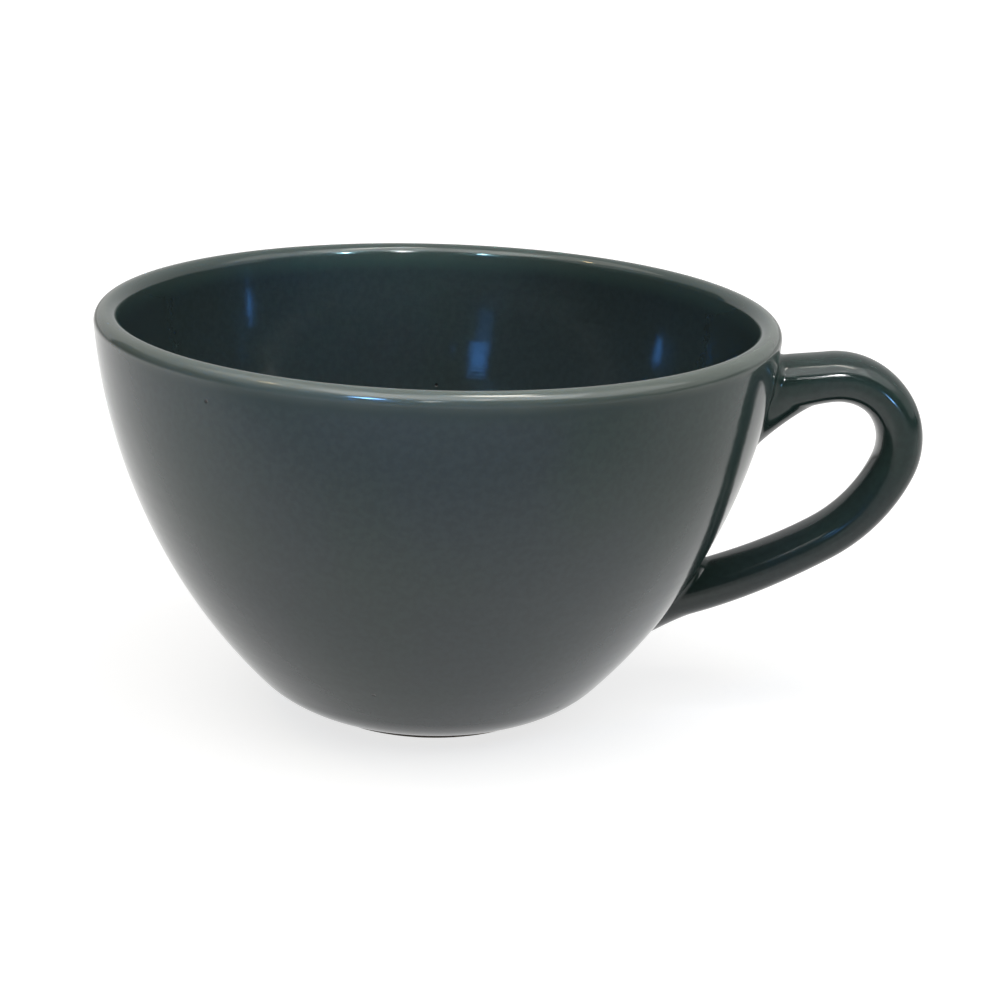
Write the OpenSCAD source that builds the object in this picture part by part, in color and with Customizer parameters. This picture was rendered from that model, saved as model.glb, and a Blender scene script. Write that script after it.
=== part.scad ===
// Cappuccino cup: a glazed stoneware bowl with a handle luted to its side.
// Millimetres and degrees. +Z is up and the handle points along +X.
// The origin is on the bowl's axis, in the plane that the foot ring stands on.

/* [Bowl] */
// Outside diameter at the widest point of the lip, over the glaze
rim_d = 115; // [100:1:130]
// Height from the resting plane to the crest of the lip, over the glaze
cup_h = 69.5; // [65:0.5:75]
// Thickness of the clay wall at the lip
wall_t = 3.3; // [3:0.1:5.5]
// Slope of the wall just under the lip, measured from the vertical
rim_lean = 4.5; // [3:0.5:10]
// Reach of the side's arc outside, as a multiple of the belly arc's reach
side_share = 7.3; // [4:0.1:8]
// Slope at which the belly runs out over the foot ring, measured from the vertical
foot_slope = 70.5; // [60:0.5:76]
// Thickness of the clay floor above the recess
base_t = 4.5; // [3.5:0.1:7]
// Radius of the flat middle of the floor inside
floor_flat_r = 15; // [11:0.5:18]
// Reach of the side's arc inside, as a multiple of the arc into the floor
inside_share = 2.6; // [2:0.1:3.4]

/* [Foot] */
// Outside diameter of the foot ring
foot_d = 41; // [36:0.5:46]
// Width of the foot ring
foot_w = 4; // [2.5:0.1:6]
// Height of the foot ring below the belly
foot_h = 1.5; // [1.2:0.1:2]
// Overhang of the belly past the foot ring
foot_step = 2.4; // [2.2:0.1:4]
// Rounding of the foot ring's lower edges
foot_edge_r = 0.5; // [0.2:0.1:0.8]
// Fillet between the foot ring and the belly
foot_fillet_r = 0.8; // [0.3:0.1:0.9]
// Depth of the recess inside the foot ring
recess_h = 2.5; // [1.8:0.1:4]

/* [Glaze] */
// Thickness of the glaze
glaze_t = 0.4; // [0.2:0.05:0.7]
// Height at which the outside glaze stops, above the resting plane
glaze_stop_h = 2.2; // [1.8:0.1:4]

/* [Handle] */
// Depth under the lip's crest at which the middle of the handle's upper end meets the wall
handle_drop = 11.9; // [11.2:0.1:15]
// Slope at which the handle rises from the wall
handle_rise = 15; // [8:0.5:20]
// Radius of the arc along the handle's top
top_r = 80; // [50:1:140]
// Length of the arc along the handle's top
top_len = 10.6; // [8:0.2:13]
// Radius of the handle's bend
bend_r = 11.2; // [9:0.2:13]
// Angle through which the bend turns
bend_turn = 120; // [110:1:128]
// Radius of the arc behind the bend
back_r = 28; // [22:0.5:34]
// Angle through which the arc behind the bend turns
back_turn = 37; // [30:1:44]
// Radius of the tail's arc, which runs on to the wall
tail_r = 106; // [80:1:150]
// Thickness of the handle where it leaves the wall, over the glaze
grip_root_t = 9.8; // [8:0.1:11.5]
// Thickness of the handle along its top, over the glaze
grip_top_t = 8.4; // [7:0.1:9.5]
// Thickness of the handle in its bend, over the glaze
grip_bend_t = 7.8; // [6.6:0.1:9]
// Thickness of the handle behind its bend, over the glaze
grip_back_t = 7.4; // [6.2:0.1:8.6]
// Thickness of the handle where its tail comes back to the wall, over the glaze
grip_tail_t = 8.4; // [7:0.1:10]
// Width of the handle across its own plane, over the glaze
grip_w = 11.2; // [9.5:0.1:13]
// Squareness of the handle's oval section, where 2 is an ellipse
grip_square = 2.2; // [2:0.1:3]

/* [Luting] */
// Thickness of the slip between the handle's ends and the wall
lute_t = 0.8; // [0.5:0.1:1.2]
// Fillet on top of the upper joint
upper_fillet_top_r = 1.4; // [0.8:0.1:1.8]
// Fillet under the upper joint, where the handle flares
upper_fillet_under_r = 12.5; // [9:0.5:14]
// Fillet under the lower joint, where the handle flares
lower_fillet_under_r = 17; // [10:0.5:20]
// How hollow the two flares are: 1 for a round fillet, less for a straighter one
flare_hollow = 0.3; // [0.2:0.05:0.8]
// How far the two flares run along the handle, as a multiple of their reach along the wall
flare_run = 1.5; // [1:0.1:1.7]
// Fillet on top of the lower joint
lower_fillet_top_r = 1.6; // [0.8:0.1:2.4]
// Fillet along the two sides of each joint
side_fillet_r = 2; // [1:0.1:3]

/* [Hidden] */
$fn = 180;

// Resolution of the handle, its joints and the search for points on the wall
section_sides = 24;
path_steps = 40;
fillet_steps = 6;
collar_steps = 2;
cap_steps = 3;
solve_steps = 14;
probe = 0.01;
// Largest turn between two points on the wall's arcs, and on the small arcs of the lip and foot
wall_step = 1.5;
edge_step = 15;
// Margin by which a cutting shape passes the surfaces that it cuts
overshoot = 3;

// Bowl profile, in the half plane of radius and height.
// A slope is measured from the vertical and grows from the lip to the foot.
function slope_out(a) = [cos(a), -sin(a)];
function slope_down(a) = [-sin(a), -cos(a)];
function unit(v) = v / norm(v);

// Two arcs that leave p0 at slope a0, meet smoothly and arrive at p1 at slope a1:
// [first centre, first radius, first slope, joining slope, second centre, second radius]
function two_arcs(p0, a0, p1, a1, share) =
    let(t0 = slope_down(a0), t1 = slope_down(a1), v = p1 - p0,
        q = 2 * share * (1 - t0 * t1),
        b = v * (share * t0 + t1),
        d1 = (sqrt(b * b + q * (v * v)) - b) / q,
        d0 = share * d1,
        tangent = (p1 - d1 * t1) - (p0 + d0 * t0),
        joint = atan2(-tangent[0], -tangent[1]),
        r0 = d0 / tan((joint - a0) / 2),
        r1 = d1 / tan((a1 - joint) / 2))
    [p0 - r0 * slope_out(a0), r0, a0, joint, p1 - r1 * slope_out(a1), r1];

lip_r = wall_t / 2 + glaze_t;
lip_c = [rim_d / 2 - lip_r, cup_h - lip_r];
floor_z = recess_h + base_t;
foot_r = foot_d / 2;
recess_r = foot_r - foot_w;
floor_slope = 90;

outside = two_arcs(lip_c + lip_r * slope_out(rim_lean), rim_lean,
                   [foot_r + foot_step, foot_h], foot_slope, side_share);
inside = two_arcs(lip_c - wall_t / 2 * slope_out(rim_lean), rim_lean,
                  [floor_flat_r, floor_z], floor_slope, inside_share);

side_c = outside[0];
side_r = outside[1];
side_end = outside[3];
belly_c = outside[4];
belly_r = outside[5];

// Slope of the belly's arc where it has come down to height z, a depth of inset under the glaze
function belly_slope(z, inset) = asin((belly_c[1] - z) / (belly_r - inset));
glaze_stop = belly_slope(glaze_stop_h, glaze_t);
belly_stop = belly_slope(foot_h, glaze_t);

// Points along an arc, in equal steps of at most the given angle
function arc(c, r, from, to, step) =
    let(n = ceil(abs(to - from) / step))
    [for (i = [0 : n]) c + r * slope_out(from + (to - from) * i / n)];

// Points down a two-arc profile, drawn in by inset
function profile_points(profile, inset, end) =
    concat(arc(profile[0], profile[1] - inset, profile[2], profile[3], wall_step),
           arc(profile[4], profile[5] - inset, profile[3], end, wall_step));

// Points over the lip from the inside to the outside, at a distance r from its middle
function lip_points(r) = arc(lip_c, r, rim_lean - 180, rim_lean, edge_step);

// The foot's fillet fits under the belly's overhang and above the ring's rounded edge
overhang = belly_c[0] + (belly_r - glaze_t) * cos(belly_stop) - foot_r;
foot_fillet = min(foot_fillet_r, overhang, foot_h - foot_edge_r);

// Points round the foot ring, from its fillet under the belly to the recess
function foot_points() =
    concat(arc([foot_r + foot_fillet, foot_h - foot_fillet], foot_fillet, -90, -180, edge_step),
           arc([foot_r - foot_edge_r, foot_edge_r], foot_edge_r, 0, 90, edge_step),
           arc([recess_r + foot_edge_r, foot_edge_r], foot_edge_r, 90, 180, edge_step),
           [[recess_r, recess_h], [0, recess_h]]);

function reversed(list) = [for (i = [len(list) - 1 : -1 : 0]) list[i]];

// Height of a point above the clay wall, and the wall's outward direction there
function wall_arc(p) =
    atan2(side_c[1] - p[2], norm([p[0], p[1]]) - side_c[0]) < side_end
        ? [side_c, side_r - glaze_t] : [belly_c, belly_r - glaze_t];
function wall_offset(p) = [norm([p[0], p[1]]), p[2]] - wall_arc(p)[0];
function wall_level(p) = norm(wall_offset(p)) - wall_arc(p)[1];
function wall_normal(p) =
    let(n = unit(wall_offset(p)), round_axis = unit([p[0], p[1]]))
    [n[0] * round_axis[0], n[0] * round_axis[1], n[1]];
function onto_wall(p, level) = p - (wall_level(p) - level) * wall_normal(p);

// Handle's middle line: arcs that turn down, one after the other, as [x, z, heading]
function advance(pose, r, s) =
    let(heading = pose[2] - s / r * 180 / PI)
    [pose[0] + r * (sin(pose[2]) - sin(heading)),
     pose[1] - r * (cos(pose[2]) - cos(heading)), heading];
bend_len = bend_r * bend_turn * PI / 180;
back_len = back_r * back_turn * PI / 180;
bend_from = top_len;
back_from = bend_from + bend_len;
tail_from = back_from + back_len;
handle_z = cup_h - handle_drop;
root_x = side_c[0] + sqrt(side_r * side_r - pow(side_c[1] - handle_z, 2));
root_pose = [root_x, handle_z, handle_rise];
bend_pose = advance(root_pose, top_r, top_len);
back_pose = advance(bend_pose, bend_r, bend_len);
tail_pose = advance(back_pose, back_r, back_len);
function pose_at(s) =
    s < bend_from ? advance(root_pose, top_r, s) :
    s < back_from ? advance(bend_pose, bend_r, s - bend_from) :
    s < tail_from ? advance(back_pose, back_r, s - back_from) :
    advance(tail_pose, tail_r, s - tail_from);

// The middle line's points, and the length at which it reaches a level above the wall
function middle_point(s) = let(pose = pose_at(s)) [pose[0], 0, pose[1]];
function settle_middle(s, level, n = solve_steps) =
    n == 0 ? s :
    let(here = wall_level(middle_point(s)),
        rate = (wall_level(middle_point(s + probe)) - here) / probe)
    settle_middle(s - (here - level) / rate, level, n - 1);
tail_to = settle_middle(tail_from, glaze_t);

// Handle's section: an oval whose thickness eases from each stretch to the next
function ease(from, to, t) =
    let(k = min(1, max(0, t)))
    from + (to - from) * k * k * (3 - 2 * k);
bend_mid = (bend_from + back_from) / 2;
function grip_t(s) =
    s < bend_from ? ease(grip_root_t, grip_top_t, s / bend_from) :
    s < bend_mid ? ease(grip_top_t, grip_bend_t, (s - bend_from) / (bend_mid - bend_from)) :
    s < tail_from ? ease(grip_bend_t, grip_back_t, (s - bend_mid) / (tail_from - bend_mid)) :
    ease(grip_back_t, grip_tail_t, (s - tail_from) / (tail_to - tail_from));
function oval(v) = sign(v) * pow(abs(v), 2 / grip_square);
function section_turn(k) = 360 * k / section_sides;
sides = [0 : section_sides - 1];

// Point on side line k of the handle, at length s along it, a depth of inset under the glaze
function side_point(s, k, inset) =
    let(pose = pose_at(s),
        u = (grip_t(s) / 2 - inset) * oval(cos(section_turn(k))),
        v = (grip_w / 2 - inset) * oval(sin(section_turn(k))))
    [pose[0] - u * sin(pose[2]), v, pose[1] + u * cos(pose[2])];

// Length at which a side line reaches a level above the wall
function settle(s, k, inset, level, n = solve_steps) =
    n == 0 ? s :
    let(here = wall_level(side_point(s, k, inset)),
        rate = (wall_level(side_point(s + probe, k, inset)) - here) / probe)
    settle(s - (here - level) / rate, k, inset, level, n - 1);

// A joint: [length to search from, way off the wall, fillet outside the loop, fillet inside it,
// 1 where the fillet outside the loop is a flare, 1 where the one inside it is]
upper_joint = [0, 1, upper_fillet_top_r, upper_fillet_under_r, 0, 1];
lower_joint = [tail_from, -1, lower_fillet_under_r, lower_fillet_top_r, 1, 0];

// Where side line k leaves the wall: the fillet's [foot, corner, end, weight, end length]
function fillet_at(joint, k, inset, level) =
    let(s = settle(joint[0], k, inset, level),
        corner = side_point(s, k, inset),
        off = unit(side_point(s + joint[1] * probe, k, inset) - corner),
        n = wall_normal(corner),
        facing = cos(section_turn(k)),
        lift = facing * (facing > 0 ? joint[2] : joint[3]),
        flare = facing * facing * (facing > 0 ? joint[4] : joint[5]),
        aside = sin(section_turn(k)) * side_fillet_r,
        heading = pose_at(s)[2],
        spread = unit([-lift * sin(heading), aside, lift * cos(heading)]),
        along = unit(spread - (spread * n) / (off * n) * off),
        opening = acos(along * off),
        r = norm([lift, aside]) + glaze_t - level,
        reach = r / tan(opening / 2),
        end_s = s + joint[1] * reach * (1 + flare * (flare_run - 1)))
    [onto_wall(corner + reach * along, level), corner, side_point(end_s, k, inset),
     (1 + flare * (flare_hollow - 1)) * sin(opening / 2), end_s];

// Arc of a fillet, drawn as a conic from its foot at t = 0 to its end at t = 1
function fillet_point(f, t) =
    let(a = (1 - t) * (1 - t), b = 2 * f[3] * t * (1 - t), c = t * t)
    (a * f[0] + b * f[1] + c * f[2]) / (a + b + c);

function fillets(joint, inset, level) = [for (k = sides) fillet_at(joint, k, inset, level)];
upper_glaze_fillets = fillets(upper_joint, 0, glaze_t);
lower_glaze_fillets = fillets(lower_joint, 0, glaze_t);
upper_clay_fillets = fillets(upper_joint, glaze_t, 0);
lower_clay_fillets = fillets(lower_joint, glaze_t, 0);

// Lengths at which the clay handle's side lines stop, on the slip
function ends_on_slip(joint) = [for (k = sides) settle(joint[0], k, glaze_t, lute_t)];
upper_ends = ends_on_slip(upper_joint);
lower_ends = ends_on_slip(lower_joint);
upper_ring = [for (k = sides) side_point(upper_ends[k], k, glaze_t)];
lower_ring = [for (k = sides) side_point(lower_ends[k], k, glaze_t)];
function joint_middle(joint, level) =
    onto_wall(middle_point(settle_middle(joint[0], level)), level);

// Rings for the lofts
function fillet_rings(f) =
    [for (i = [0 : fillet_steps]) [for (k = sides) fillet_point(f[k], i / fillet_steps)]];
function side_rings(from, to, inset, steps) =
    [for (i = [0 : steps])
        [for (k = sides) side_point(from[k] + (to[k] - from[k]) * i / steps, k, inset)]];
function cap_rings(middle, ring, level) =
    [for (i = [1 : cap_steps - 1])
        [for (p = ring) onto_wall(middle + (p - middle) * i / cap_steps, level)]];
function end_lengths(f) = [for (k = sides) f[k][4]];
function joined(lists) = [for (list = lists) for (item = list) item];
// Rings that climb off the wall, turned so that they run the same way round at either joint
function turned(joint, rings) = joint[1] > 0 ? rings : [for (ring = rings) reversed(ring)];

// Solid through a row of rings, each closed by a fan at its end point
module loft(first, rings, last) {
    count = len(rings);
    last_index = count * section_sides + 1;
    function at(i, k) = 1 + i * section_sides + k % section_sides;
    polyhedron(
        points = joined([[first], joined(rings), [last]]),
        faces = joined([
            [for (k = sides) [0, at(0, k + 1), at(0, k)]],
            [for (i = [0 : count - 2]) for (k = sides) [at(i, k), at(i, k + 1), at(i + 1, k)]],
            [for (i = [0 : count - 2]) for (k = sides) [at(i, k + 1), at(i + 1, k + 1), at(i + 1, k)]],
            [for (k = sides) [last_index, at(count - 1, k), at(count - 1, k + 1)]]]));
}

// Solid through a row of rings whose last ring runs on into the first
module ring_loft(rings) {
    count = len(rings);
    function at(i, k) = (i % count) * section_sides + k % section_sides;
    polyhedron(
        points = joined(rings),
        faces = joined([
            [for (i = [0 : count - 1]) for (k = sides) [at(i, k), at(i, k + 1), at(i + 1, k)]],
            [for (i = [0 : count - 1]) for (k = sides) [at(i, k + 1), at(i + 1, k + 1), at(i + 1, k)]]]));
}

// Slip of one joint: from the wall, up the fillet, down the handle's side and over its end
module lute(joint, clay_fillets, ends, ring) {
    on_wall = joint_middle(joint, 0);
    on_handle = joint_middle(joint, lute_t);
    foot_ring = [for (f = clay_fillets) f[0]];
    collar = side_rings(end_lengths(clay_fillets), ends, glaze_t, collar_steps);
    loft(on_wall,
         turned(joint, joined([cap_rings(on_wall, foot_ring, 0),
                               fillet_rings(clay_fillets),
                               [for (i = [1 : collar_steps]) collar[i]],
                               reversed(cap_rings(on_handle, ring, lute_t))])),
         on_handle);
}

// Plug through the glaze where a joint's fillet stands on the wall
function ring_mean(ring) = [for (i = [0 : 2]) [for (p = ring) p[i]] * [for (p = ring) 1] / len(ring)];
module glaze_window(joint, clay_fillets, glaze_fillets) {
    through = [for (k = sides) unit(glaze_fillets[k][0] - clay_fillets[k][0])];
    low = [for (k = sides) clay_fillets[k][0] - overshoot * through[k]];
    high = [for (k = sides) glaze_fillets[k][0] + overshoot * through[k]];
    loft(ring_mean(low), turned(joint, [low, high]), ring_mean(high));
}

module cup_body() {
    color("tan") rotate_extrude()
        polygon(concat(
            lip_points(wall_t / 2),
            profile_points(outside, glaze_t, glaze_stop),
            arc(belly_c, belly_r - glaze_t, glaze_stop, belly_stop, wall_step),
            foot_points(),
            [[0, floor_z]],
            reversed(profile_points(inside, 0, floor_slope))));
}

module handle() {
    upper_middle = joint_middle(upper_joint, lute_t);
    lower_middle = joint_middle(lower_joint, lute_t);
    color("tan")
        loft(upper_middle,
             joined([cap_rings(upper_middle, upper_ring, lute_t),
                     side_rings(upper_ends, lower_ends, glaze_t, path_steps),
                     reversed(cap_rings(lower_middle, lower_ring, lute_t))]),
             lower_middle);
}

module upper_lute() {
    color("burlywood") lute(upper_joint, upper_clay_fillets, upper_ends, upper_ring);
}

module lower_lute() {
    color("burlywood") lute(lower_joint, lower_clay_fillets, lower_ends, lower_ring);
}

module inner_glaze() {
    color("darkslategray") rotate_extrude()
        polygon(concat(
            lip_points(lip_r),
            reversed(lip_points(wall_t / 2)),
            profile_points(inside, 0, floor_slope),
            [[0, floor_z], [0, floor_z + glaze_t]],
            reversed(profile_points(inside, glaze_t, floor_slope))));
}

module outer_glaze() {
    color("dimgray") difference() {
        rotate_extrude()
            polygon(concat(
                profile_points(outside, 0, belly_slope(glaze_stop_h, 0)),
                reversed(profile_points(outside, glaze_t, glaze_stop))));
        glaze_window(upper_joint, upper_clay_fillets, upper_glaze_fillets);
        glaze_window(lower_joint, lower_clay_fillets, lower_glaze_fillets);
    }
}

module handle_glaze() {
    glaze_side = side_rings(end_lengths(upper_glaze_fillets), end_lengths(lower_glaze_fillets),
                            0, path_steps);
    clay_side = side_rings(end_lengths(upper_clay_fillets), end_lengths(lower_clay_fillets),
                           glaze_t, path_steps);
    inner_steps = [1 : path_steps - 1];
    color("dimgray")
        ring_loft(joined([
            fillet_rings(upper_glaze_fillets),
            [for (i = inner_steps) glaze_side[i]],
            reversed(fillet_rings(lower_glaze_fillets)),
            fillet_rings(lower_clay_fillets),
            reversed([for (i = inner_steps) clay_side[i]]),
            reversed(fillet_rings(upper_clay_fillets))]));
}

module base_glaze() {
    color("dimgray") translate([0, 0, recess_h - glaze_t]) cylinder(h = glaze_t, r = recess_r);
}

cup_body();
handle();
upper_lute();
lower_lute();
inner_glaze();
outer_glaze();
handle_glaze();
base_glaze();
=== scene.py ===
import math

import bpy
import numpy as np
from mathutils import Matrix, Vector


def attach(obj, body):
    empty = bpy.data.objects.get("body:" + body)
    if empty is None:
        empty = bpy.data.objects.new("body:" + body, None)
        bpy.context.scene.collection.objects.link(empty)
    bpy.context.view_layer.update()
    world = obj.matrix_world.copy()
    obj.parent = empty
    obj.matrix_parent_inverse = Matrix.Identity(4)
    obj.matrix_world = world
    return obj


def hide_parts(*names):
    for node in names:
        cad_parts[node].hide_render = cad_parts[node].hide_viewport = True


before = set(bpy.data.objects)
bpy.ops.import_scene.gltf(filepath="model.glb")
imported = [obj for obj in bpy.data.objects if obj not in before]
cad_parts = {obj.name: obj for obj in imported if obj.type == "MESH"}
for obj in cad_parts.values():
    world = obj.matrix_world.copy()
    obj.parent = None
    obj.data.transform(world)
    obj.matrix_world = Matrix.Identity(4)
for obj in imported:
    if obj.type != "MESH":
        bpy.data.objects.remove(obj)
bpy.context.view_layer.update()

# Sizes in millimetres and degrees, with the names and values that the part's source gives them
MM = 0.001
RIM_D = 115
CUP_H = 69.5
WALL_T = 3.3
RIM_LEAN = 4.5
SIDE_SHARE = 7.3
FOOT_SLOPE = 70.5
BASE_T = 4.5
FLOOR_FLAT_R = 15
INSIDE_SHARE = 2.6
FOOT_D = 41
FOOT_W = 4
FOOT_H = 1.5
FOOT_STEP = 2.4
FOOT_EDGE_R = 0.5
FOOT_FILLET_R = 0.8
RECESS_H = 2.5
GLAZE_T = 0.4
GLAZE_STOP_H = 2.2
HANDLE_DROP = 11.9
HANDLE_RISE = 15
TOP_R = 80
TOP_LEN = 10.6
BEND_R = 11.2
BEND_TURN = 120
BACK_R = 28
BACK_TURN = 37
TAIL_R = 106
GRIP_ROOT_T = 9.8
GRIP_TOP_T = 8.4
GRIP_BEND_T = 7.8
GRIP_BACK_T = 7.4
GRIP_TAIL_T = 8.4
GRIP_W = 11.2
GRIP_SQUARE = 2.2
UPPER_FILLET_TOP_R = 1.4
UPPER_FILLET_UNDER_R = 12.5
LOWER_FILLET_UNDER_R = 17
FLARE_HOLLOW = 0.3
FLARE_RUN = 1.5
LOWER_FILLET_TOP_R = 1.6
SIDE_FILLET_R = 2

# Resolution of the meshes
LATHE_SIDES = 320
WALL_STEP = 0.6
EDGE_STEP = 4
SECTION_SIDES = 72
PATH_STEPS = 150
FILLET_STEPS = 16
SOLVE_STEPS = 14
PROBE = 0.01
SHARP_ANGLE = 50
TINY = 1e-6


# Bowl profile, in the half plane of radius and height, with slopes from the vertical
def slope_out(a):
    a = math.radians(a)
    return np.array([math.cos(a), -math.sin(a)])


def slope_down(a):
    a = math.radians(a)
    return np.array([-math.sin(a), -math.cos(a)])


def unit(v):
    return v / np.linalg.norm(v)


def two_arcs(p0, a0, p1, a1, share):
    """Two arcs that leave p0 at slope a0, meet smoothly and arrive at p1 at slope a1."""
    t0, t1, v = slope_down(a0), slope_down(a1), p1 - p0
    q = 2 * share * (1 - t0 @ t1)
    b = v @ (share * t0 + t1)
    d1 = (math.sqrt(b * b + q * (v @ v)) - b) / q
    d0 = share * d1
    tangent = (p1 - d1 * t1) - (p0 + d0 * t0)
    joint = math.degrees(math.atan2(-tangent[0], -tangent[1]))
    r0 = d0 / math.tan(math.radians(joint - a0) / 2)
    r1 = d1 / math.tan(math.radians(a1 - joint) / 2)
    return {
        "c0": p0 - r0 * slope_out(a0), "r0": r0, "from": a0, "joint": joint,
        "c1": p1 - r1 * slope_out(a1), "r1": r1,
    }


def arc(c, r, start, end, step):
    n = max(1, math.ceil(abs(end - start) / step))
    return [c + r * slope_out(start + (end - start) * i / n) for i in range(n + 1)]


def profile_points(profile, inset, end):
    first = arc(profile["c0"], profile["r0"] - inset, profile["from"], profile["joint"], WALL_STEP)
    second = arc(profile["c1"], profile["r1"] - inset, profile["joint"], end, WALL_STEP)
    return first + second[1:]


LIP_R = WALL_T / 2 + GLAZE_T
LIP_C = np.array([RIM_D / 2 - LIP_R, CUP_H - LIP_R])
FLOOR_Z = RECESS_H + BASE_T
FOOT_R = FOOT_D / 2
RECESS_R = FOOT_R - FOOT_W
FLOOR_SLOPE = 90
OUTSIDE = two_arcs(LIP_C + LIP_R * slope_out(RIM_LEAN), RIM_LEAN,
                   np.array([FOOT_R + FOOT_STEP, FOOT_H]), FOOT_SLOPE, SIDE_SHARE)
INSIDE = two_arcs(LIP_C - WALL_T / 2 * slope_out(RIM_LEAN), RIM_LEAN,
                  np.array([FLOOR_FLAT_R, FLOOR_Z]), FLOOR_SLOPE, INSIDE_SHARE)


def belly_slope(z, inset):
    return math.degrees(math.asin((OUTSIDE["c1"][1] - z) / (OUTSIDE["r1"] - inset)))


def lip_points(r):
    return arc(LIP_C, r, RIM_LEAN - 180, RIM_LEAN, EDGE_STEP)


def foot_points():
    """Points round the foot ring, from its fillet under the belly to the recess."""
    stop = belly_slope(FOOT_H, GLAZE_T)
    overhang = OUTSIDE["c1"][0] + (OUTSIDE["r1"] - GLAZE_T) * math.cos(math.radians(stop)) - FOOT_R
    fillet = min(FOOT_FILLET_R, overhang, FOOT_H - FOOT_EDGE_R)
    return (arc(np.array([FOOT_R + fillet, FOOT_H - fillet]), fillet, -90, -180, EDGE_STEP)
            + arc(np.array([FOOT_R - FOOT_EDGE_R, FOOT_EDGE_R]), FOOT_EDGE_R, 0, 90, EDGE_STEP)
            + arc(np.array([RECESS_R + FOOT_EDGE_R, FOOT_EDGE_R]), FOOT_EDGE_R, 90, 180, EDGE_STEP)
            + [np.array([RECESS_R, RECESS_H]), np.array([0, RECESS_H])])


# The wall outside, as a level above the clay
def wall_arc(p):
    rho = math.hypot(p[0], p[1])
    c0 = OUTSIDE["c0"]
    angle = math.degrees(math.atan2(c0[1] - p[2], rho - c0[0]))
    if angle < OUTSIDE["joint"]:
        return c0, OUTSIDE["r0"] - GLAZE_T
    return OUTSIDE["c1"], OUTSIDE["r1"] - GLAZE_T


def wall_offset(p):
    return np.array([math.hypot(p[0], p[1]), p[2]]) - wall_arc(p)[0]


def wall_level(p):
    return np.linalg.norm(wall_offset(p)) - wall_arc(p)[1]


def wall_normal(p):
    n = unit(wall_offset(p))
    radial = unit(np.array([p[0], p[1]]))
    return np.array([n[0] * radial[0], n[0] * radial[1], n[1]])


def onto_wall(p, level):
    return p - (wall_level(p) - level) * wall_normal(p)


# Handle's middle line: arcs that turn down, one after the other, as x, z and heading
def advance(pose, r, s):
    x, z, heading = pose
    turned = heading - s / r
    return (x + r * (math.sin(heading) - math.sin(turned)),
            z - r * (math.cos(heading) - math.cos(turned)), turned)


BEND_LEN = BEND_R * math.radians(BEND_TURN)
BACK_LEN = BACK_R * math.radians(BACK_TURN)
BEND_FROM = TOP_LEN
BACK_FROM = BEND_FROM + BEND_LEN
TAIL_FROM = BACK_FROM + BACK_LEN
BEND_MID = (BEND_FROM + BACK_FROM) / 2
HANDLE_Z = CUP_H - HANDLE_DROP
ROOT_X = OUTSIDE["c0"][0] + math.sqrt(OUTSIDE["r0"] ** 2 - (OUTSIDE["c0"][1] - HANDLE_Z) ** 2)
ROOT_POSE = (ROOT_X, HANDLE_Z, math.radians(HANDLE_RISE))
BEND_POSE = advance(ROOT_POSE, TOP_R, TOP_LEN)
BACK_POSE = advance(BEND_POSE, BEND_R, BEND_LEN)
TAIL_POSE = advance(BACK_POSE, BACK_R, BACK_LEN)


def pose_at(s):
    if s < BEND_FROM:
        return advance(ROOT_POSE, TOP_R, s)
    if s < BACK_FROM:
        return advance(BEND_POSE, BEND_R, s - BEND_FROM)
    if s < TAIL_FROM:
        return advance(BACK_POSE, BACK_R, s - BACK_FROM)
    return advance(TAIL_POSE, TAIL_R, s - TAIL_FROM)


def middle_point(s):
    x, z, _ = pose_at(s)
    return np.array([x, 0.0, z])


def settle(point_at, s, level):
    """Length at which a line along the handle reaches a level above the wall."""
    for _ in range(SOLVE_STEPS):
        here = wall_level(point_at(s))
        rate = (wall_level(point_at(s + PROBE)) - here) / PROBE
        s -= (here - level) / rate
    return s


TAIL_TO = settle(middle_point, TAIL_FROM, GLAZE_T)


def ease(start, end, t):
    k = min(1.0, max(0.0, t))
    return start + (end - start) * k * k * (3 - 2 * k)


def grip_t(s):
    if s < BEND_FROM:
        return ease(GRIP_ROOT_T, GRIP_TOP_T, s / BEND_FROM)
    if s < BEND_MID:
        return ease(GRIP_TOP_T, GRIP_BEND_T, (s - BEND_FROM) / (BEND_MID - BEND_FROM))
    if s < TAIL_FROM:
        return ease(GRIP_BEND_T, GRIP_BACK_T, (s - BEND_MID) / (TAIL_FROM - BEND_MID))
    return ease(GRIP_BACK_T, GRIP_TAIL_T, (s - TAIL_FROM) / (TAIL_TO - TAIL_FROM))


def oval(v):
    return math.copysign(abs(v) ** (2 / GRIP_SQUARE), v)


def side_point(s, turn, inset):
    x, z, heading = pose_at(s)
    u = (grip_t(s) / 2 - inset) * oval(math.cos(turn))
    v = (GRIP_W / 2 - inset) * oval(math.sin(turn))
    return np.array([x - u * math.sin(heading), v, z + u * math.cos(heading)])


UPPER_JOINT = {"from": 0.0, "way": 1, "outer_r": UPPER_FILLET_TOP_R, "outer_flare": 0,
               "inner_r": UPPER_FILLET_UNDER_R, "inner_flare": 1}
LOWER_JOINT = {"from": TAIL_FROM, "way": -1, "outer_r": LOWER_FILLET_UNDER_R, "outer_flare": 1,
               "inner_r": LOWER_FILLET_TOP_R, "inner_flare": 0}
TURNS = [2 * math.pi * k / SECTION_SIDES for k in range(SECTION_SIDES)]


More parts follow.
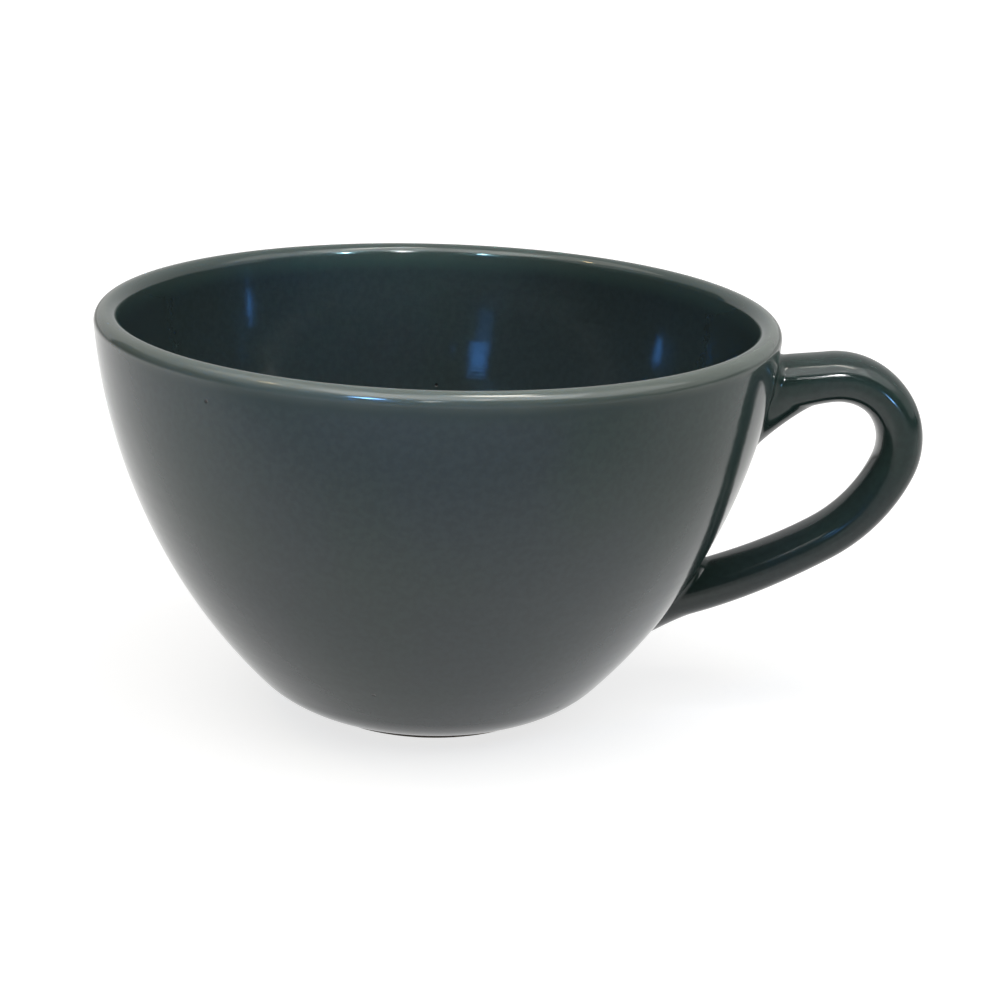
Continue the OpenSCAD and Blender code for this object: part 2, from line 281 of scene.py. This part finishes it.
def fillet_at(joint, turn, inset, level):
    """Where a side line leaves the wall: the fillet's foot, corner, end, weight and end length."""
    s = settle(lambda length: side_point(length, turn, inset), joint["from"], level)
    corner = side_point(s, turn, inset)
    off = unit(side_point(s + joint["way"] * PROBE, turn, inset) - corner)
    n = wall_normal(corner)
    facing = math.cos(turn)
    side = "outer" if facing > 0 else "inner"
    lift = facing * joint[side + "_r"]
    flare = facing * facing * joint[side + "_flare"]
    aside = math.sin(turn) * SIDE_FILLET_R
    heading = pose_at(s)[2]
    spread = unit(np.array([-lift * math.sin(heading), aside, lift * math.cos(heading)]))
    along = unit(spread - (spread @ n) / (off @ n) * off)
    opening = math.acos(along @ off)
    r = math.hypot(lift, aside) + GLAZE_T - level
    reach = r / math.tan(opening / 2)
    end_s = s + joint["way"] * reach * (1 + flare * (FLARE_RUN - 1))
    foot = onto_wall(corner + reach * along, level)
    weight = (1 + flare * (FLARE_HOLLOW - 1)) * math.sin(opening / 2)
    return foot, corner, side_point(end_s, turn, inset), weight, end_s


def fillet_point(f, t):
    a, b, c = (1 - t) ** 2, 2 * f[3] * t * (1 - t), t * t
    return (a * f[0] + b * f[1] + c * f[2]) / (a + b + c)


def handle_rings(inset, level):
    """Rings from the wall, out along the handle and back to the wall."""
    upper = [fillet_at(UPPER_JOINT, turn, inset, level) for turn in TURNS]
    lower = [fillet_at(LOWER_JOINT, turn, inset, level) for turn in TURNS]
    rings = [[fillet_point(f, i / FILLET_STEPS) for f in upper] for i in range(FILLET_STEPS + 1)]
    for i in range(1, PATH_STEPS):
        share = i / PATH_STEPS
        rings.append([
            side_point(a[4] + (b[4] - a[4]) * share, turn, inset)
            for a, b, turn in zip(upper, lower, TURNS)
        ])
    rings += [[fillet_point(f, i / FILLET_STEPS) for f in lower] for i in range(FILLET_STEPS, -1, -1)]
    return rings


# Meshes
def make_piece(name, verts, faces, slot_name, material, *nodes):
    mesh = bpy.data.meshes.new(name)
    mesh.from_pydata([tuple(float(c) * MM for c in v) for v in verts], [], faces)
    mesh.validate()
    mesh.polygons.foreach_set("use_smooth", [True] * len(mesh.polygons))
    mesh.set_sharp_from_angle(angle=math.radians(SHARP_ANGLE))
    mesh.materials.append(material)
    piece = bpy.data.objects.new(name, mesh)
    bpy.context.scene.collection.objects.link(piece)
    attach(piece, "root")
    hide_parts(*nodes)
    return piece


def lathe(outline):
    """Closed solid of revolution from an outline of radius and height; points on the axis are shared."""
    points = [p for i, p in enumerate(outline) if np.linalg.norm(p - outline[i - 1]) > TINY]
    verts, rows = [], []
    for r, z in points:
        if r < TINY:
            rows.append([len(verts)] * LATHE_SIDES)
            verts.append((0.0, 0.0, z))
            continue
        rows.append(list(range(len(verts), len(verts) + LATHE_SIDES)))
        for k in range(LATHE_SIDES):
            a = 2 * math.pi * k / LATHE_SIDES
            verts.append((r * math.cos(a), r * math.sin(a), z))
    faces = []
    for i, low in enumerate(rows):
        high = rows[i - 1]
        for k in range(LATHE_SIDES):
            j = (k + 1) % LATHE_SIDES
            corners = [low[k], low[j], high[j], high[k]]
            face = [c for m, c in enumerate(corners) if c != corners[m - 1]]
            if len(face) > 2:
                faces.append(face)
    return verts, faces


def tube(rings):
    """Closed skin through a row of rings whose last ring runs on into the first."""
    verts = [p for ring in rings for p in ring]
    faces = []
    count, sides = len(rings), len(rings[0])
    for i in range(count):
        for k in range(sides):
            a, b = i * sides, ((i + 1) % count) * sides
            j = (k + 1) % sides
            faces.append((a + k, b + k, b + j, a + j))
    return verts, faces


# Materials
WHITE = (1, 1, 1, 1)


def shader_tree(name):
    material = bpy.data.materials.new(name)
    material.use_nodes = True
    tree = material.node_tree
    return material, tree, tree.nodes["Principled BSDF"]


def add_node(tree, kind, settings=None, inputs=None):
    node = tree.nodes.new(kind)
    for key, value in (settings or {}).items():
        setattr(node, key, value)
    for key, value in (inputs or {}).items():
        if isinstance(value, bpy.types.NodeSocket):
            tree.links.new(value, node.inputs[key])
        else:
            node.inputs[key].default_value = value
    return node


def object_coords(tree):
    return add_node(tree, "ShaderNodeTexCoord").outputs["Object"]


def map_range(tree, value, low, high, out_low, out_high):
    node = add_node(tree, "ShaderNodeMapRange", {"interpolation_type": "SMOOTHSTEP"}, {
        "Value": value, "From Min": low, "From Max": high, "To Min": out_low, "To Max": out_high})
    return node.outputs["Result"]


def maths(tree, operation, a, b):
    node = add_node(tree, "ShaderNodeMath", {"operation": operation}, {0: a, 1: b})
    return node.outputs["Value"]


def mix_colour(tree, factor, a, b):
    node = add_node(tree, "ShaderNodeMix", {"data_type": "RGBA"})
    for socket, value in (("Factor_Float", factor), ("A_Color", a), ("B_Color", b)):
        target = next(s for s in node.inputs if s.identifier == socket)
        if isinstance(value, bpy.types.NodeSocket):
            tree.links.new(value, target)
        else:
            target.default_value = value
    return next(s for s in node.outputs if s.identifier == "Result_Color")


def noise(tree, coords, scale, detail, stretch=(1, 1, 1)):
    placed = add_node(tree, "ShaderNodeMapping", None, {"Vector": coords, "Scale": stretch})
    node = add_node(tree, "ShaderNodeTexNoise", None, {
        "Vector": placed.outputs["Vector"], "Scale": scale, "Detail": detail})
    return node.outputs["Fac"]


def spots(tree, coords, scale, edge, pick, share):
    """Round spots of a given share, in those cells whose chance lies above the pick."""
    cells = add_node(tree, "ShaderNodeTexVoronoi", None, {
        "Vector": coords, "Scale": scale, "Randomness": 1.0})
    near = map_range(tree, cells.outputs["Distance"], *edge, 1.0, 0.0)
    chance = add_node(tree, "ShaderNodeSeparateColor", None, {"Color": cells.outputs["Color"]})
    picked = map_range(tree, chance.outputs["Red"], *pick, 0.0, share)
    return maths(tree, "MULTIPLY", near, picked)


def relief(tree, height, size, below=None, invert=False):
    """Bump of a given strength and distance, laid over the bump below it."""
    inputs = {**size, "Height": height}
    if below is not None:
        inputs["Normal"] = below
    return add_node(tree, "ShaderNodeBump", {"invert": invert}, inputs).outputs["Normal"]


# Glaze: noise scales per metre, lip heights and radii in metres
MIDDLE_RANGE = (0.3, 0.7)
DRIFT_SCALE = 28
DRIFT_RANGE = (0.38, 0.62)
MOTTLE_SCALE = 900
MOTTLE_SHARE = 0.18
PIT_COLOUR = (0.01, 0.012, 0.013, 1)
LIP_COLOUR = (0.036, 0.06, 0.056, 1)
# Pale tone of the lip's outer half: thin glaze, and partly a painted highlight for light from above
BREAK_AND_HIGHLIGHT_COLOUR = (0.105, 0.127, 0.112, 1)
LIP_FROM = (0.0642, 0.0670)
BREAK_AND_HIGHLIGHT_FROM = (0.0660, 0.0688)
OUTER_HALF = (0.0546, 0.0561)
INNER_SHARE = 0.2
LIP_RAGGED = 0.0008
RAGGED_SCALE = 140
PINHOLE_SCALE = 230
PINHOLE_EDGE = (0.05, 0.085)
PINHOLE_PICK = (0.93, 0.94)
SHEEN_SCALE = 75
RING_SCALE = 1
RING_STRETCH = (6, 6, 420)
WAVE_SCALE = 210
RING_RELIEF = {"Strength": 0.05, "Distance": 0.0006}
WAVE_RELIEF = {"Strength": 0.05, "Distance": 0.0005}
PINHOLE_RELIEF = {"Strength": 0.5, "Distance": 0.0003}


def break_and_highlight_on_lip(tree, coords, colour):
    """The lip's tones, with a ragged lower edge: the glaze runs thin and pale on its outer half, and
    that pale tone is partly a painted highlight for light from above.
    """
    height = add_node(tree, "ShaderNodeSeparateXYZ", None, {"Vector": coords}).outputs["Z"]
    ragged = add_node(tree, "ShaderNodeMath", {"operation": "MULTIPLY_ADD"}, {
        0: noise(tree, coords, RAGGED_SCALE, detail=3), 1: LIP_RAGGED, 2: -LIP_RAGGED / 2})
    edge = maths(tree, "ADD", height, ragged.outputs["Value"])
    colour = mix_colour(tree, map_range(tree, edge, *LIP_FROM, 0.0, 1.0), colour, LIP_COLOUR)
    flat = add_node(tree, "ShaderNodeMapping", None, {"Vector": coords, "Scale": (1, 1, 0)})
    radius = add_node(tree, "ShaderNodeVectorMath", {"operation": "LENGTH"}, {
        0: flat.outputs["Vector"]})
    outer_half = map_range(tree, radius.outputs["Value"], *OUTER_HALF, INNER_SHARE, 1.0)
    # Outer half of the lip made pale: thin glaze and painted highlight
    thin = maths(tree, "MULTIPLY", map_range(tree, edge, *BREAK_AND_HIGHLIGHT_FROM, 0.0, 1.0), outer_half)
    return mix_colour(tree, thin, colour, BREAK_AND_HIGHLIGHT_COLOUR)


def make_glaze(name, deep, cool, ior, gloss):
    """Gloss glaze: it drifts from a deep to a cool tone, breaks on the lip, where its pale tone is
    partly a painted highlight, and has pinholes.
    """
    material, tree, shader = shader_tree(name)
    coords = object_coords(tree)
    drift = noise(tree, coords, DRIFT_SCALE, detail=3)
    colour = mix_colour(tree, map_range(tree, drift, *DRIFT_RANGE, 0.0, 1.0), deep, cool)
    mottle = noise(tree, coords, MOTTLE_SCALE, detail=2)
    mottled = map_range(tree, mottle, *MIDDLE_RANGE, 0.0, MOTTLE_SHARE)
    colour = mix_colour(tree, mottled, colour, PIT_COLOUR)
    colour = break_and_highlight_on_lip(tree, coords, colour)
    pinholes = spots(tree, coords, PINHOLE_SCALE, PINHOLE_EDGE, PINHOLE_PICK, share=1.0)
    colour = mix_colour(tree, pinholes, colour, PIT_COLOUR)
    tree.links.new(colour, shader.inputs["Base Color"])
    sheen = noise(tree, coords, SHEEN_SCALE, detail=3)
    tree.links.new(map_range(tree, sheen, *MIDDLE_RANGE, *gloss), shader.inputs["Roughness"])
    shader.inputs["IOR"].default_value = ior
    rings = noise(tree, coords, RING_SCALE, detail=2, stretch=RING_STRETCH)
    waves = noise(tree, coords, WAVE_SCALE, detail=2)
    normal = relief(tree, rings, RING_RELIEF)
    normal = relief(tree, waves, WAVE_RELIEF, below=normal)
    normal = relief(tree, pinholes, PINHOLE_RELIEF, below=normal, invert=True)
    tree.links.new(normal, shader.inputs["Normal"])
    return material


# Clay: noise scales per metre
GRAIN_SCALE = 1500
SPECK_SCALE = 900
SPECK_EDGE = (0.1, 0.2)
SPECK_PICK = (0.86, 0.88)
SPECK_SHARE = 0.8
SPECK_COLOUR = (0.05, 0.035, 0.025, 1)
CLAY_ROUGHNESS = (0.7, 0.9)
GRAIN_RELIEF = {"Strength": 0.35, "Distance": 0.0002}


def make_clay(name, pale, dark):
    """Bare fired clay: matt, with a grain and dark specks."""
    material, tree, shader = shader_tree(name)
    coords = object_coords(tree)
    grain = noise(tree, coords, GRAIN_SCALE, detail=4)
    colour = mix_colour(tree, map_range(tree, grain, *MIDDLE_RANGE, 0.0, 1.0), dark, pale)
    specks = spots(tree, coords, SPECK_SCALE, SPECK_EDGE, SPECK_PICK, SPECK_SHARE)
    colour = mix_colour(tree, specks, colour, SPECK_COLOUR)
    tree.links.new(colour, shader.inputs["Base Color"])
    rough = map_range(tree, grain, *MIDDLE_RANGE, *CLAY_ROUGHNESS)
    tree.links.new(rough, shader.inputs["Roughness"])
    tree.links.new(relief(tree, grain, GRAIN_RELIEF), shader.inputs["Normal"])
    return material


outside_glaze = make_glaze("charcoal_glaze", deep=(0.039, 0.067, 0.061, 1),
                           cool=(0.042, 0.064, 0.068, 1), ior=1.5, gloss=(0.07, 0.13))
# The handle takes the outside glaze in darker tones: painted shade on the handle
handle_glaze = make_glaze("handle_glaze", deep=(0.021, 0.039, 0.034, 1),
                          cool=(0.023, 0.037, 0.038, 1), ior=1.5, gloss=(0.09, 0.15))
# The inside takes the glaze in darker tones than the outside: painted shade in the bowl
inside_glaze = make_glaze("dark_glaze_with_painted_shade", deep=(0.027, 0.041, 0.04, 1),
                          cool=(0.028, 0.041, 0.044, 1), ior=1.6, gloss=(0.08, 0.13))
clay = make_clay("bare_clay", pale=(0.36, 0.3, 0.23, 1), dark=(0.27, 0.22, 0.165, 1))
slip = make_clay("fired_slip", pale=(0.42, 0.36, 0.28, 1), dark=(0.33, 0.275, 0.21, 1))

# Pieces
outer_outline = (profile_points(OUTSIDE, 0, belly_slope(GLAZE_STOP_H, 0))
                 + profile_points(OUTSIDE, GLAZE_T, belly_slope(GLAZE_STOP_H, GLAZE_T))[::-1])
inner_outline = (lip_points(LIP_R) + lip_points(WALL_T / 2)[::-1]
                 + profile_points(INSIDE, 0, FLOOR_SLOPE)
                 + [np.array([0, FLOOR_Z]), np.array([0, FLOOR_Z + GLAZE_T])]
                 + profile_points(INSIDE, GLAZE_T, FLOOR_SLOPE)[::-1])
body_outline = (lip_points(WALL_T / 2)
                + profile_points(OUTSIDE, GLAZE_T, belly_slope(FOOT_H, GLAZE_T))
                + foot_points() + [np.array([0, FLOOR_Z])]
                + profile_points(INSIDE, 0, FLOOR_SLOPE)[::-1])
base_outline = [np.array([0, RECESS_H]), np.array([RECESS_R, RECESS_H]),
                np.array([RECESS_R, RECESS_H - GLAZE_T]), np.array([0, RECESS_H - GLAZE_T])]
handle_skin = handle_rings(0, GLAZE_T) + handle_rings(GLAZE_T, 0)[::-1]
make_piece("glaze_outside", *lathe(outer_outline), "outside_glaze", outside_glaze, "outer_glaze")
make_piece("glaze_inside", *lathe(inner_outline), "inside_glaze", inside_glaze, "inner_glaze")
make_piece("clay_bowl", *lathe(body_outline), "stoneware", clay, "cup_body")
make_piece("glaze_under", *lathe(base_outline), "outside_glaze", outside_glaze, "base_glaze")
make_piece("glaze_handle", *tube(handle_skin), "outside_glaze", handle_glaze, "handle_glaze")
for node_name, material in (("handle", clay), ("upper_lute", slip), ("lower_lute", slip)):
    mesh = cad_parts[node_name].data
    mesh.materials.clear()
    mesh.materials.append(material)

# Camera at the photograph's viewpoint, in metres and radians
CAMERA_AT = Vector((0.0, -0.4139, 0.1621))
YAW, PITCH, ROLL = 0.027328, 0.295425, -0.036070
FOCAL_PIXELS = 2515.27
IMAGE_PIXELS = 1000
SENSOR = 36.0
CLIP_START = 0.01
CLIP_END = 50
forward = Vector((math.sin(YAW) * math.cos(PITCH), math.cos(YAW) * math.cos(PITCH), -math.sin(PITCH)))
level_right = Vector((math.cos(YAW), -math.sin(YAW), 0))
down = forward.cross(level_right)
cam_right = math.cos(ROLL) * level_right + math.sin(ROLL) * down
cam_down = math.cos(ROLL) * down - math.sin(ROLL) * level_right
turned = Matrix((cam_right, -cam_down, -forward)).transposed().to_4x4()
camera_data = bpy.data.cameras.new("camera")
camera_data.sensor_width = SENSOR
camera_data.lens = FOCAL_PIXELS * SENSOR / IMAGE_PIXELS
camera_data.clip_start = CLIP_START
camera_data.clip_end = CLIP_END
camera = bpy.data.objects.new("camera", camera_data)
camera.matrix_world = Matrix.Translation(CAMERA_AT) @ turned
bpy.context.scene.collection.objects.link(camera)
bpy.context.scene.camera = camera

# Studio: a white surround for the camera, a pale floor that keeps the shadow, flags and lamps
AMBIENT = 0.5
MIRRORED = 0.58


def by_ray(tree, seen, mirrored, otherwise):
    """Strength for the camera's rays, for rays that a glaze mirrors, and for all other light."""
    path = add_node(tree, "ShaderNodeLightPath")
    base = map_range(tree, path.outputs["Is Glossy Ray"], 0.0, 1.0, otherwise, mirrored)
    return map_range(tree, path.outputs["Is Camera Ray"], 0.0, 1.0, base, seen)


world = bpy.data.worlds.new("studio")
bpy.context.scene.world = world
world.use_nodes = True
world_tree = world.node_tree
background = world_tree.nodes["Background"]
background.inputs["Color"].default_value = WHITE
world_tree.links.new(by_ray(world_tree, 1.0, MIRRORED, AMBIENT), background.inputs["Strength"])


def add_panel(name, corners, material):
    mesh = bpy.data.meshes.new(name)
    mesh.from_pydata(corners, [], [tuple(range(len(corners)))])
    mesh.materials.append(material)
    panel = bpy.data.objects.new(name, mesh)
    bpy.context.scene.collection.objects.link(panel)
    return panel


def make_matt(name, colour):
    """Plain matt stage material."""
    material = bpy.data.materials.new(name)
    material.use_nodes = True
    tree = material.node_tree
    tree.nodes.clear()
    diffuse = add_node(tree, "ShaderNodeBsdfDiffuse", None, {"Color": colour})
    output = add_node(tree, "ShaderNodeOutputMaterial", None, {"Surface": diffuse.outputs["BSDF"]})
    return material, tree, diffuse, output


# Floor: its glow to the camera and to the glaze, and the distances in metres over which it fades
FLOOR_COLOUR = (0.42, 0.42, 0.42, 1)
FLOOR_HALF = 6.0
SEEN_GLOW = 0.75
FRONT_PAINTED_SHADE = 0.14
BACK_PAINTED_LIGHT = 0.72
RIGHT_SHARE = 0.46
FAR_SHARE = 0.1
FRONT_FADE = (-0.14, -0.04)
RIGHT_FADE = (0.03, 0.14)
FAR_FADE = (0.2, 0.8)


def make_floor(name, colour):
    """Pale floor: white to the camera; as the glaze mirrors it, it glows with painted light, brightest
    behind and to the left, with painted shade in front.
    """
    material, tree, diffuse, output = make_matt(name, colour)
    coords = object_coords(tree)
    place = add_node(tree, "ShaderNodeSeparateXYZ", None, {"Vector": coords})
    away = add_node(tree, "ShaderNodeVectorMath", {"operation": "LENGTH"}, {0: coords}).outputs["Value"]
    # Painted light and shade for the glaze to mirror: dim in front, bright behind, dimmer to the right
    # and far off
    in_front = map_range(tree, place.outputs["Y"], *FRONT_FADE, FRONT_PAINTED_SHADE, BACK_PAINTED_LIGHT)
    to_right = map_range(tree, place.outputs["X"], *RIGHT_FADE, 1.0, RIGHT_SHARE)
    far_off = map_range(tree, away, *FAR_FADE, 1.0, FAR_SHARE)
    mirrored = maths(tree, "MULTIPLY", in_front, maths(tree, "MULTIPLY", to_right, far_off))
    seen = map_range(tree, away, *FAR_FADE, SEEN_GLOW, 1.0)
    light = add_node(tree, "ShaderNodeEmission", None, {
        "Color": WHITE, "Strength": by_ray(tree, seen, mirrored, 0.0)})
    both = add_node(tree, "ShaderNodeAddShader", None, {
        0: diffuse.outputs["BSDF"], 1: light.outputs["Emission"]})
    tree.links.new(both.outputs["Shader"], output.inputs["Surface"])
    return material


floor_corners = [(-FLOOR_HALF, -FLOOR_HALF, 0), (FLOOR_HALF, -FLOOR_HALF, 0),
                 (FLOOR_HALF, FLOOR_HALF, 0), (-FLOOR_HALF, FLOOR_HALF, 0)]
add_panel("floor", floor_corners, make_floor("pale_floor", FLOOR_COLOUR))

# Flags: dark upright cloths that the glaze mirrors, placed by points on the floor and heights in metres
CLOTH_COLOUR = (0.05, 0.05, 0.05, 1)
dark_cloth = make_matt("dark_cloth", CLOTH_COLOUR)[0]


def add_flag(name, start, end, low, high):
    corners = [(*start, low), (*end, low), (*end, high), (*start, high)]
    add_panel(name, corners, dark_cloth).visible_camera = False


add_flag("front_flag", start=(-4.5, -1.5), end=(4.5, -1.5), low=0.12, high=1.55)
add_flag("left_flag", start=(-1.7, -1.4), end=(-1.7, 1.5), low=0.02, high=0.95)
add_flag("right_flag", start=(1.7, -1.4), end=(1.7, 0.9), low=0.02, high=0.22)

# Lamps: direction and apparent size in degrees, brightness as a surface, aim and distance in metres
CUP_MIDDLE = (0.0, 0.0, 0.05)
FAR, NEAR, CLOSE = 1.4, 0.6, 0.25
ALL_ROUND = 180
NEUTRAL = (1.0, 1.0, 1.0)
WARM = (1.0, 0.95, 0.85)
GOLD = (1.0, 0.72, 0.35)
PALE_BLUE = (0.45, 0.85, 1.0)
DAYLIGHT = (0.2, 0.5, 1.0)
DEEP_BLUE = (0.07, 0.34, 1.0)


def add_lamp(name, azimuth, elevation, wide, high, radiance, colour,
             aim=CUP_MIDDLE, distance=FAR, beam=ALL_ROUND):
    """Area lamp, its azimuth counted from the camera's side towards the handle."""
    az, el = math.radians(azimuth), math.radians(elevation)
    way = Vector((math.sin(az) * math.cos(el), -math.cos(az) * math.cos(el), math.sin(el)))
    data = bpy.data.lights.new(name, "AREA")
    data.shape = "RECTANGLE"
    data.size = 2 * distance * math.tan(math.radians(wide) / 2)
    data.size_y = 2 * distance * math.tan(math.radians(high) / 2)
    data.spread = math.radians(beam)
    half_beam = data.spread / 2
    gathered = math.tan(half_beam) / (math.tan(half_beam) - half_beam)
    data.energy = radiance * math.pi * data.size * data.size_y / gathered
    data.color = colour
    lamp = bpy.data.objects.new(name, data)
    lamp.location = Vector(aim) + distance * way
    lamp.rotation_euler = way.to_track_quat("Z", "Y").to_euler()
    lamp.visible_camera = False
    bpy.context.scene.collection.objects.link(lamp)


add_lamp("softbox_left", azimuth=-74, elevation=64, wide=60, high=30, radiance=1.0, colour=WARM)
add_lamp("softbox_right", azimuth=75, elevation=45, wide=40, high=30, radiance=1.0, colour=NEUTRAL)
add_lamp("softbox_front", azimuth=10, elevation=66, wide=60, high=40, radiance=1.9, colour=NEUTRAL)
add_lamp("ceiling", azimuth=62, elevation=76, wide=3.5, high=22, radiance=14, colour=WARM)
add_lamp("lamp_lip", azimuth=-2, elevation=33, wide=5, high=4, radiance=40, colour=NEUTRAL,
         aim=(-0.001, -0.057, 0.068), distance=NEAR, beam=6)
add_lamp("ceiling_lip", azimuth=112, elevation=79, wide=8, high=14, radiance=20, colour=WARM,
         aim=(0.009, -0.056, 0.069), distance=CLOSE, beam=24)
add_lamp("lamp_handle", azimuth=8, elevation=31, wide=6, high=5, radiance=170, colour=NEUTRAL,
         aim=(0.067, -0.005, 0.063), distance=CLOSE, beam=14)
add_lamp("lamp_high", azimuth=20, elevation=52, wide=4, high=4, radiance=9, colour=NEUTRAL)
add_lamp("lamp_warm", azimuth=-80, elevation=54, wide=2.5, high=2.5, radiance=40, colour=GOLD)
add_lamp("window", azimuth=-17, elevation=19, wide=8, high=6.5, radiance=1.7, colour=DEEP_BLUE)
add_lamp("window_core", azimuth=-17, elevation=18.5, wide=5, high=4, radiance=1.7, colour=DEEP_BLUE)
add_lamp("window_below", azimuth=-18.5, elevation=12.5, wide=6, high=9, radiance=0.7, colour=DEEP_BLUE)
add_lamp("window_lip", azimuth=-24, elevation=32, wide=13, high=8, radiance=80, colour=DAYLIGHT,
         aim=(-0.0118, -0.0555, 0.069), distance=CLOSE, beam=13)
add_lamp("window_handle", azimuth=29, elevation=4, wide=4, high=4, radiance=110, colour=DAYLIGHT,
         aim=(0.077, -0.005, 0.057), distance=NEAR, beam=6)
add_lamp("glint_left", azimuth=39, elevation=31, wide=4, high=4, radiance=800, colour=PALE_BLUE,
         aim=(-0.0185, 0.0505, 0.074), distance=NEAR, beam=4)
add_lamp("glint_middle", azimuth=16, elevation=36, wide=3, high=4, radiance=560, colour=NEUTRAL,
         aim=(-0.007, 0.053, 0.074), distance=NEAR, beam=4)
add_lamp("glint_right", azimuth=-17.5, elevation=31, wide=4, high=4, radiance=560, colour=PALE_BLUE,
         aim=(0.009, 0.053, 0.074), distance=NEAR, beam=4)
add_lamp("blind_left", azimuth=-29, elevation=13.5, wide=2.4, high=5, radiance=190, colour=DEEP_BLUE,
         aim=(0.049, 0.021, 0.063), distance=NEAR, beam=5)
add_lamp("blind_right", azimuth=-4, elevation=16.5, wide=2.4, high=5, radiance=220, colour=DEEP_BLUE,
         aim=(-0.035, 0.0395, 0.06), distance=NEAR, beam=5)

bpy.context.scene.view_settings.view_transform = "Standard"
